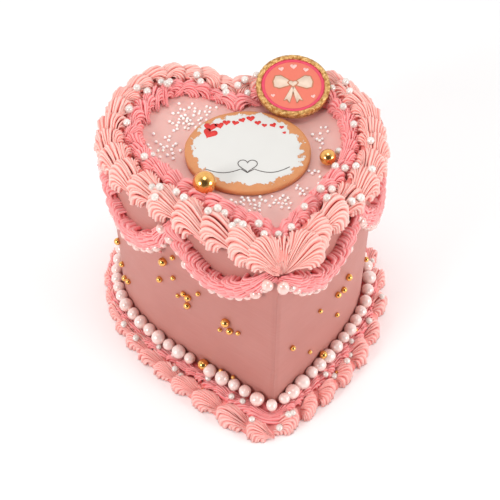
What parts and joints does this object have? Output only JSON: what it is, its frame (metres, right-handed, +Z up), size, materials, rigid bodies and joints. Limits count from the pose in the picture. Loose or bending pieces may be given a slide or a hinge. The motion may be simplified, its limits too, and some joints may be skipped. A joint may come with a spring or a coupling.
{
  "type": "heart shaped cake",
  "caption": "Tall heart shaped celebration cake in pink icing, with piped shell borders, ruffled swags, sugar pearls, gold beads and two flat biscuits on top.",
  "frame": {"origin": "centre of the bounding box seen from above, at the foot, z = 0 where the cake stands", "axes": "+Z up, -Y towards the heart's tip at the front, +X to the right seen from the front"},
  "size_m": [0.203, 0.2094, 0.1673],
  "materials": {
    "smooth_icing": "matt",
    "light_piping": "satin",
    "rose_piping": "satin",
    "sugar_pearl": "pearly",
    "white_pearl": "pearly",
    "gold_lustre": "lustre dust",
    "plaque_biscuit": "iced and brushed with lustre",
    "medallion_biscuit": "iced, with a gilded rim"
  },
  "bodies": {
    "root": {"cake": "smooth_icing", "top_border_outer": "light_piping", "top_border_inner": "rose_piping", "swag_1": "rose_piping", "swag_2": "rose_piping", "swag_3": "rose_piping", "swag_4": "rose_piping", "swag_5": "rose_piping", "swag_6": "rose_piping", "swag_7": "rose_piping", "swag_8": "rose_piping", "foot_border_outer": "light_piping", "foot_border_rose": "rose_piping", "foot_pearls": "sugar_pearl", "plaque": "plaque_biscuit", "medallion": "medallion_biscuit", "gold_ball_large": "gold_lustre", "gold_ball_small": "gold_lustre"}
  },
  "joints": []
}
